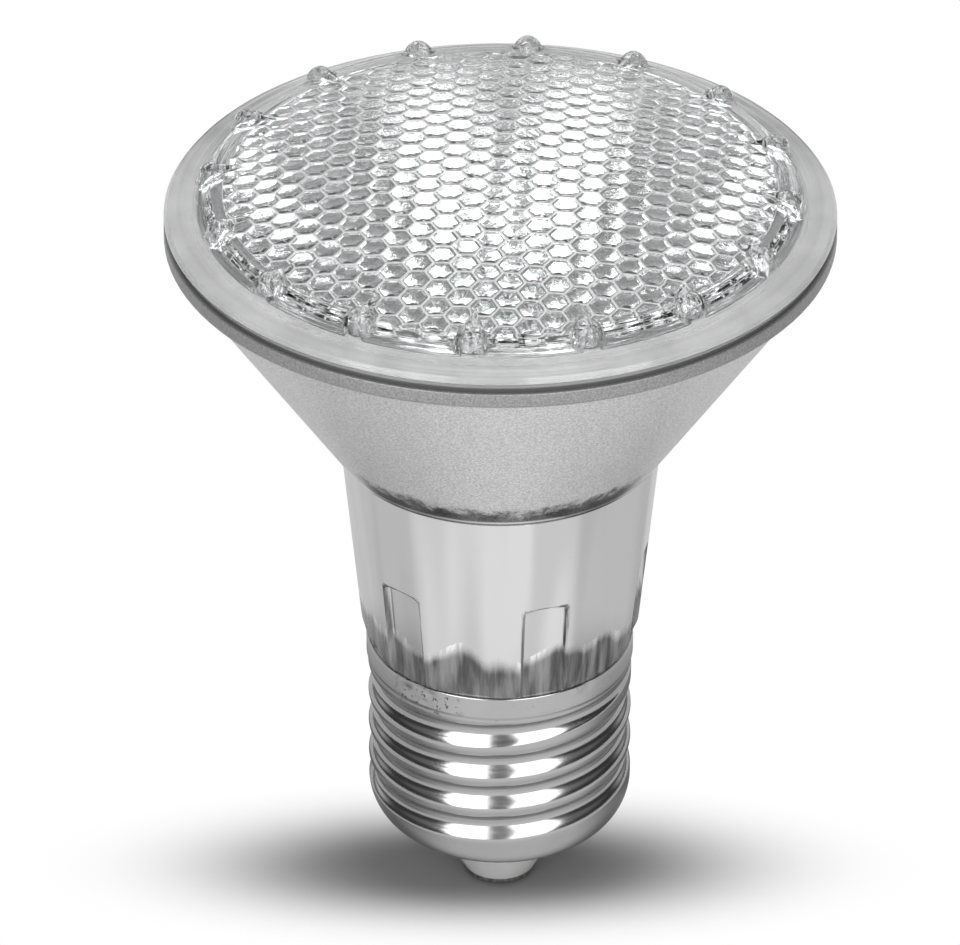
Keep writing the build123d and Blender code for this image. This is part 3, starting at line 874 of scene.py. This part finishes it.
def reflector_material():
    """Frosted bowl with a ragged band of painted shade and a thin painted highlight at its foot;
    silvered neck with bands of painted reflection and dark pocket lines, partly bare of silver and
    partly painted shade; bare glass below the silver, painted dark as the shaded inside seen through it.
    """
    made, tree, shader = new_material("reflector_outside")
    where = place(tree)
    x, y, height = split(tree, where)
    streaks = noise(tree, place(tree, (1.0, 1.0, 0.08)), 0.9, 4.0)
    # Soft vertical bands for the neck's painted reflection
    painted_reflection_bands = noise(tree, place(tree, (1.0, 1.0, 0.02)), 0.24, 1.0)
    patches = noise(tree, place(tree, (1.0, 1.0, 0.4)), 0.15, 1.0)
    ragged = noise(tree, where, 0.8, 6.0, 0.65)
    grain = noise(tree, where, 5.0, 3.0, 0.7)

    frost_level = plus(tree, height, times(tree, minus(tree, ragged, 0.5), 5.0))
    frosted = ramp(tree, frost_level, NECK_TOP + 1.5, NECK_TOP + 4.0)
    # Painted shade: a ragged dark band at the bowl's foot, where the frost stops above the neck
    painted_foot_shade = minus(tree, ramp(tree, height, NECK_TOP - 0.1, NECK_TOP + 0.3), frosted)
    # Painted highlight: a thin pale line round the rounded foot of the bowl
    painted_lip_highlight = ramp(tree, height, NECK_TOP + 0.35, NECK_TOP + 0.5)
    painted_lip_highlight = times(tree, painted_lip_highlight, ramp(tree, height, NECK_TOP + 0.85, NECK_TOP + 0.65))
    silver_level = plus(tree, height, times(tree, minus(tree, patches, 0.5), 7.5))
    drips = times(tree, minus(tree, streaks, 0.5), 1.2)
    silver_level = plus(tree, silver_level, drips)
    silvered = ramp(tree, silver_level, SILVER_EDGE - 1.3, SILVER_EDGE + 0.3)
    silver_line = times(tree, silvered, ramp(tree, silver_level, SILVER_EDGE + 0.5, SILVER_EDGE + 0.3))
    silver_line = times(tree, silver_line, ramp(tree, streaks, 0.5, 0.62))

    # Dark lines round the pockets, from the distance across each flat strip: partly bare of silver and
    # partly painted shade in the pocket walls and under their brow, patchy along the streaks
    sector = radians(360.0 / NECK_PANELS)
    turn = minus(tree, calc(tree, "ARCTAN2", y, x), radians(PANEL_PHASE))
    off = minus(tree, calc(tree, "FLOORED_MODULO", turn, sector), sector / 2)
    across = calc(tree, "ABSOLUTE", times(tree, off, NECK_FOOT_RADIUS + 0.3))
    wall = calc(tree, "ABSOLUTE", minus(tree, across, POCKET_HALF))
    below = ramp(tree, height, POCKET_TOP + 0.1, POCKET_TOP - 0.2)
    wall = times(tree, ramp(tree, wall, 0.26, 0.08), below)
    brow = calc(tree, "ABSOLUTE", minus(tree, height, POCKET_TOP))
    between = ramp(tree, across, POCKET_HALF + 0.1, POCKET_HALF - 0.2)
    brow = times(tree, ramp(tree, brow, 0.3, 0.1), between)
    patchy_bare_silver_and_shade = ramp(tree, streaks, 0.42, 0.58, 0.25, 0.85)
    outline = times(tree, most(tree, wall, brow), patchy_bare_silver_and_shade)

    frost_colour = blend(tree, ramp(tree, grain, 0.3, 0.7), grey(0.42), grey(0.77))
    flange_colour = blend(tree, ramp(tree, grain, 0.3, 0.7), grey(0.20), grey(0.35))
    on_flange = ramp(tree, height, BOWL_TOP - 0.2, BOWL_TOP + 0.2)
    frost_colour = blend(tree, on_flange, frost_colour, flange_colour)
    # Painted reflection: soft vertical bands of lighter and darker silver on the neck
    neck_colour = blend(tree, ramp(tree, painted_reflection_bands, 0.35, 0.65), grey(0.56), grey(0.70))
    neck_colour = blend(tree, silver_line, neck_colour, grey(0.92))
    # Pocket lines: partly bare of silver, partly painted shade
    neck_colour = blend(tree, outline, neck_colour, grey(0.06))
    # Bare glass below the silver, painted dark grey with streaks: painted shade of the neck's inside
    # seen through it
    bare_glass_painted_shade = blend(tree, ramp(tree, streaks, 0.32, 0.68), grey(0.03), grey(0.2))
    colour = blend(tree, silvered, bare_glass_painted_shade, neck_colour)
    # The painted shade band at the bowl's foot
    colour = blend(tree, painted_foot_shade, colour, blend(tree, ramp(tree, grain, 0.3, 0.75), grey(0.03), grey(0.3)))
    colour = blend(tree, frosted, colour, frost_colour)
    # The painted highlight line at the bowl's foot
    colour = blend(tree, painted_lip_highlight, colour, grey(0.8))
    feed(tree, shader.inputs["Base Color"], colour)

    metal = most(tree, silvered, ramp(tree, height, *FULL_SILVER))
    feed(tree, shader.inputs["Metallic"], times(tree, metal, ramp(tree, frosted, 0.0, 1.0, 1.0, 0.7)))
    smooth = ramp(tree, streaks, 0.2, 0.8, 0.05, 0.13)
    feed(tree, shader.inputs["Roughness"], plus(tree, smooth, times(tree, frosted, 0.42)))
    relief = plus(tree, times(tree, frosted, grain), times(tree, streaks, 0.0375))
    feed(tree, shader.inputs["Normal"], bump(tree, relief, 0.5, 0.08))
    shader.inputs["Coat Weight"].default_value = 0.3
    shader.inputs["Coat Roughness"].default_value = 0.1
    return made


def nickel_material():
    """Rolled nickelled sheet, dulled and scuffed towards the collar."""
    made, tree, shader = new_material("nickel_shell")
    where = place(tree)
    x, y, height = split(tree, where)
    rolled = noise(tree, place(tree, (0.15, 0.15, 3.0)), 1.2, 3.0)
    cloud = noise(tree, where, 0.25, 4.0)
    scuff = noise(tree, where, 1.6, 6.0, 0.7)
    worn = times(tree, ramp(tree, scuff, 0.62, 0.72), ramp(tree, height, 23.0, 25.0, 0.35, 1.0))
    clean = blend(tree, cloud, grey(0.42), grey(0.51))
    side = times(tree, ramp(tree, x, -3.0, -5.5), ramp(tree, y, -7.5, -9.5))
    gouge = times(tree, ramp(tree, scuff, 0.56, 0.64), ramp(tree, height, 25.2, 26.4))
    gouge = times(tree, gouge, side)
    worn_colour = blend(tree, worn, clean, grey(0.28))
    feed(tree, shader.inputs["Base Color"], blend(tree, gouge, worn_colour, grey(0.08)))
    shader.inputs["Metallic"].default_value = 1.0
    rough = ramp(tree, rolled, 0.25, 0.75, 0.14, 0.21)
    feed(tree, shader.inputs["Roughness"], plus(tree, rough, times(tree, worn, 0.25)))
    relief = minus(tree, times(tree, rolled, 0.5), worn)
    feed(tree, shader.inputs["Normal"], bump(tree, relief, 0.12, 0.06))
    return made


def plain_metal(name, dark, light, low_rough, high_rough):
    """A drawn or pressed metal with streaks and dull patches."""
    made, tree, shader = new_material(name)
    streaks = noise(tree, place(tree, (1.0, 1.0, 0.2)), 2.5, 4.0)
    spots = noise(tree, place(tree), 5.0, 4.0)
    feed(tree, shader.inputs["Base Color"], blend(tree, ramp(tree, streaks, 0.3, 0.7), dark, light))
    shader.inputs["Metallic"].default_value = 1.0
    feed(tree, shader.inputs["Roughness"], ramp(tree, spots, 0.3, 0.7, low_rough, high_rough))
    feed(tree, shader.inputs["Normal"], bump(tree, streaks, 0.25, 0.05))
    return made


def mineral(name, dark, light, low_rough, high_rough, scale, depth, dirty_from=None):
    """Cast cement, opaque glass or cured adhesive with a grain, dirty beyond a radius."""
    made, tree, shader = new_material(name)
    where = place(tree)
    grain = noise(tree, where, scale, 5.0, 0.6)
    cloud = noise(tree, where, scale / 8, 3.0)
    colour = blend(tree, ramp(tree, cloud, 0.3, 0.7), dark, light)
    if dirty_from:
        x, y, z = split(tree, where)
        radius = length_of(tree, x, y)
        colour = blend(tree, ramp(tree, radius, dirty_from, dirty_from + 0.15), colour, grey(0.05))
    feed(tree, shader.inputs["Base Color"], colour)
    feed(tree, shader.inputs["Roughness"], ramp(tree, grain, 0.3, 0.7, low_rough, high_rough))
    feed(tree, shader.inputs["Normal"], bump(tree, grain, 0.4, depth))
    return made


def quartz_material():
    """Drawn clear quartz."""
    made, tree, shader = new_material("quartz")
    draw = noise(tree, place(tree, (1.0, 1.0, 0.15)), 1.2, 3.0)
    shader.inputs["Base Color"].default_value = (0.96, 0.97, 0.97, 1.0)
    shader.inputs["Transmission Weight"].default_value = 1.0
    shader.inputs["IOR"].default_value = QUARTZ_IOR
    feed(tree, shader.inputs["Roughness"], ramp(tree, draw, 0.3, 0.8, 0.0, 0.06))
    feed(tree, shader.inputs["Normal"], bump(tree, draw, 0.3, 0.1))
    let_lamps_through(tree, shader)
    return made


def wear(item, *made):
    """The piece gets these materials in place of what it has."""
    if item.data.materials:
        item.data.materials.clear()
    for one in made:
        item.data.materials.append(one)


lens = build_lens()
reflector = build_reflector()
shell = build_shell()
coil = build_coil()

wear(lens, lens_material(), land_material(), cell_material())
wear(reflector, reflector_material(), mirror_material())
wear(shell, nickel_material())
tungsten = plain_metal("tungsten", grey(0.16), grey(0.28), 0.3, 0.5)
wear(coil, tungsten)

node_looks = {
    "quartz": quartz_material(),
    "tungsten": tungsten,
    "foil_metal": plain_metal("foil_metal", grey(0.36), grey(0.52), 0.25, 0.4),
    "pin_metal": plain_metal("pin_metal", grey(0.40), grey(0.58), 0.2, 0.4),
    "ferrule_metal": plain_metal(
        "ferrule_metal", (0.42, 0.41, 0.38, 1.0), (0.60, 0.59, 0.56, 1.0), 0.25, 0.45
    ),
    "wire_metal": plain_metal(
        "wire_metal", (0.46, 0.44, 0.40, 1.0), (0.64, 0.62, 0.58, 1.0), 0.25, 0.45
    ),
    "weld_metal": plain_metal("weld_metal", grey(0.22), grey(0.48), 0.35, 0.6),
    "contact_metal": plain_metal(
        "contact_metal", (0.22, 0.21, 0.20, 1.0), (0.44, 0.43, 0.40, 1.0), 0.3, 0.55
    ),
    "solder": plain_metal("solder", grey(0.16), grey(0.36), 0.3, 0.55),
    "cement": mineral(
        "cement", (0.62, 0.60, 0.55, 1.0), (0.80, 0.78, 0.73, 1.0), 0.75, 0.95, 3.0, 0.12
    ),
    "insulator_glass": mineral("insulator_glass", grey(0.46), grey(0.56), 0.3, 0.45, 0.6, 0.01),
    "seal_adhesive": mineral("seal_adhesive", grey(0.39), grey(0.51), 0.4, 0.65, 1.5, 0.1, SEAL_DIRT),
}
for row in frame["record"]["subparts"]:
    item = frame["nodes"][row["node"]]
    if row["material_slot"] in node_looks:
        wear(item, node_looks[row["material_slot"]])


# Stage: pale floor, two strip lights either side of the camera, a pale backdrop and a top light

FLOOR_SIZE = 6.0
FLOOR_COLOUR = 0.85
# Floor colour at the middle of the painted shadow
PAINTED_SHADOW_COLOUR = 0.2
SHADOW_WIDE = 47.0
SHADOW_SHIFT = 2.0
SHADOW_DEEP = 16.0
FLOOR_SKEW = 0.15
STRIP_SHIFT = 0.335
STRIP_OFFSET = -0.03
STRIP_ELEVATION = 30.0
STRIP_DISTANCE = 0.6
STRIP_WIDE = 0.46
STRIP_TALL = 0.75
STRIPS = ((-1, "left", 3.7), (1, "right", 3.2))
TOP_DISTANCE = 0.8
TOP_SIZE = 0.4
TOP_RADIANCE = 1.5
LIGHT_TARGET = (0.0, 0.0, 0.05)
STUDIO_GREY = 0.20
SIDE_GREY = 0.06
BACKDROP_GREY = 0.9
CAMERA_ELEVATION = 32.0
CAMERA_DISTANCE = 800.0
CAMERA_AIM = (-1.95, 0.0, 46.6)
CAMERA_LENS = 307.3


def build_floor():
    """A pale floor that the camera sees as white, with a painted shadow under the lamp: a soft ellipse
    of darker floor colour, where the lamps' real shadow shows as well.
    """
    bpy.ops.mesh.primitive_plane_add(size=FLOOR_SIZE, location=(0.0, 0.0, -0.0001))
    floor = bpy.context.object
    floor.name = "floor"
    made = bpy.data.materials.new("floor_white")
    made.use_nodes = True
    tree = made.node_tree
    tree.nodes.clear()
    out = tree.nodes.new("ShaderNodeOutputMaterial")
    lit = tree.nodes.new("ShaderNodeBsdfDiffuse")
    white = tree.nodes.new("ShaderNodeEmission")
    white.inputs["Color"].default_value = grey(1.0)
    paths = tree.nodes.new("ShaderNodeLightPath")
    seen = most(tree, paths.outputs["Is Camera Ray"], paths.outputs["Is Glossy Ray"])
    seen = most(tree, seen, paths.outputs["Is Transmission Ray"])
    x, y, z = split(tree, place(tree))
    reach = length_of(tree, x, y)
    # Painted shade in reflections: metal and glass see the floor's glow dimmed at the sides and near the
    # lamp's foot
    facing = calc(tree, "DIVIDE", minus(tree, y, times(tree, x, FLOOR_SKEW)), reach)
    aside = ramp(tree, reach, 40.0, 54.0, 0.22, 0.66)
    front = ramp(tree, facing, 0.0, -0.95, aside, 1.0)
    front = times(tree, front, ramp(tree, reach, 20.0, 56.0, 0.8, 1.0))
    front = most(tree, front, ramp(tree, reach, 150.0, 350.0))
    direct = minus(tree, 1.0, paths.outputs["Is Glossy Ray"])
    feed(tree, white.inputs["Strength"], most(tree, front, direct))
    wide = calc(tree, "DIVIDE", plus(tree, x, SHADOW_SHIFT), SHADOW_WIDE)
    deep = calc(tree, "DIVIDE", y, SHADOW_DEEP)
    away = length_of(tree, wide, deep)
    clear = ramp(tree, away, 0.2, 1.0)
    # Painted shadow: the floor's colour darkens in a soft ellipse under the lamp
    painted_shadow_tone = blend(tree, ramp(tree, away, 0.3, 1.0), grey(PAINTED_SHADOW_COLOUR), grey(FLOOR_COLOUR))
    feed(tree, lit.inputs["Color"], painted_shadow_tone)
    mix = tree.nodes.new("ShaderNodeMixShader")
    feed(tree, mix.inputs[0], times(tree, seen, clear))
    tree.links.new(lit.outputs[0], mix.inputs[1])
    tree.links.new(white.outputs[0], mix.inputs[2])
    tree.links.new(mix.outputs[0], out.inputs["Surface"])
    floor.data.materials.append(made)


def aim(item, target):
    """Turns a light or camera towards a point."""
    item.rotation_euler = (Vector(target) - item.location).to_track_quat("-Z", "Y").to_euler()


def softbox(name, shift, elevation, distance, wide, tall, radiance):
    """A rectangular light on the camera's side, shifted to the right."""
    data = bpy.data.lights.new(name, "AREA")
    data.shape = "RECTANGLE"
    data.size = wide
    data.size_y = tall
    data.energy = radiance * pi * wide * tall
    item = bpy.data.objects.new(name, data)
    bpy.context.scene.collection.objects.link(item)
    tilt = radians(elevation)
    target = Vector(LIGHT_TARGET)
    item.location = target + distance * Vector((0.0, -cos(tilt), sin(tilt)))
    aim(item, target)
    item.location.x += shift


def build_world():
    """A grey studio, dark low at the sides, with a pale backdrop."""
    world = bpy.data.worlds.new("studio")
    bpy.context.scene.world = world
    world.use_nodes = True
    tree = world.node_tree
    tree.nodes.clear()
    out = tree.nodes.new("ShaderNodeOutputWorld")
    sky = tree.nodes.new("ShaderNodeBackground")
    coords = tree.nodes.new("ShaderNodeTexCoord")
    x, y, z = split(tree, coords.outputs["Generated"])
    behind = times(tree, ramp(tree, y, 0.3, 0.65), ramp(tree, z, 0.05, 0.35))
    beside = times(tree, ramp(tree, calc(tree, "ABSOLUTE", x), 0.6, 0.85), ramp(tree, z, 0.6, 0.4))
    around = blend(tree, beside, grey(STUDIO_GREY), grey(SIDE_GREY))
    feed(tree, sky.inputs["Color"], blend(tree, behind, around, grey(BACKDROP_GREY)))
    sky.inputs["Strength"].default_value = 1.0
    tree.links.new(sky.outputs[0], out.inputs["Surface"])


def build_camera():
    """The camera at the photograph's angle."""
    data = bpy.data.cameras.new("camera")
    data.lens = CAMERA_LENS
    data.sensor_width = 36.0
    data.sensor_fit = "HORIZONTAL"
    data.clip_start = 0.01
    data.clip_end = 50.0
    item = bpy.data.objects.new("camera", data)
    bpy.context.scene.collection.objects.link(item)
    tilt = radians(CAMERA_ELEVATION)
    target = Vector(CAMERA_AIM) * MM
    item.location = target + CAMERA_DISTANCE * MM * Vector((0.0, -cos(tilt), sin(tilt)))
    aim(item, target)
    bpy.context.scene.camera = item


build_floor()
for side, name, radiance in STRIPS:
    shift = side * STRIP_SHIFT + STRIP_OFFSET
    softbox("strip_" + name, shift, STRIP_ELEVATION, STRIP_DISTANCE, STRIP_WIDE, STRIP_TALL, radiance)
softbox("top_light", 0.0, 90.0, TOP_DISTANCE, TOP_SIZE, TOP_SIZE, TOP_RADIANCE)
build_world()
build_camera()
bpy.context.scene.view_settings.view_transform = "Standard"
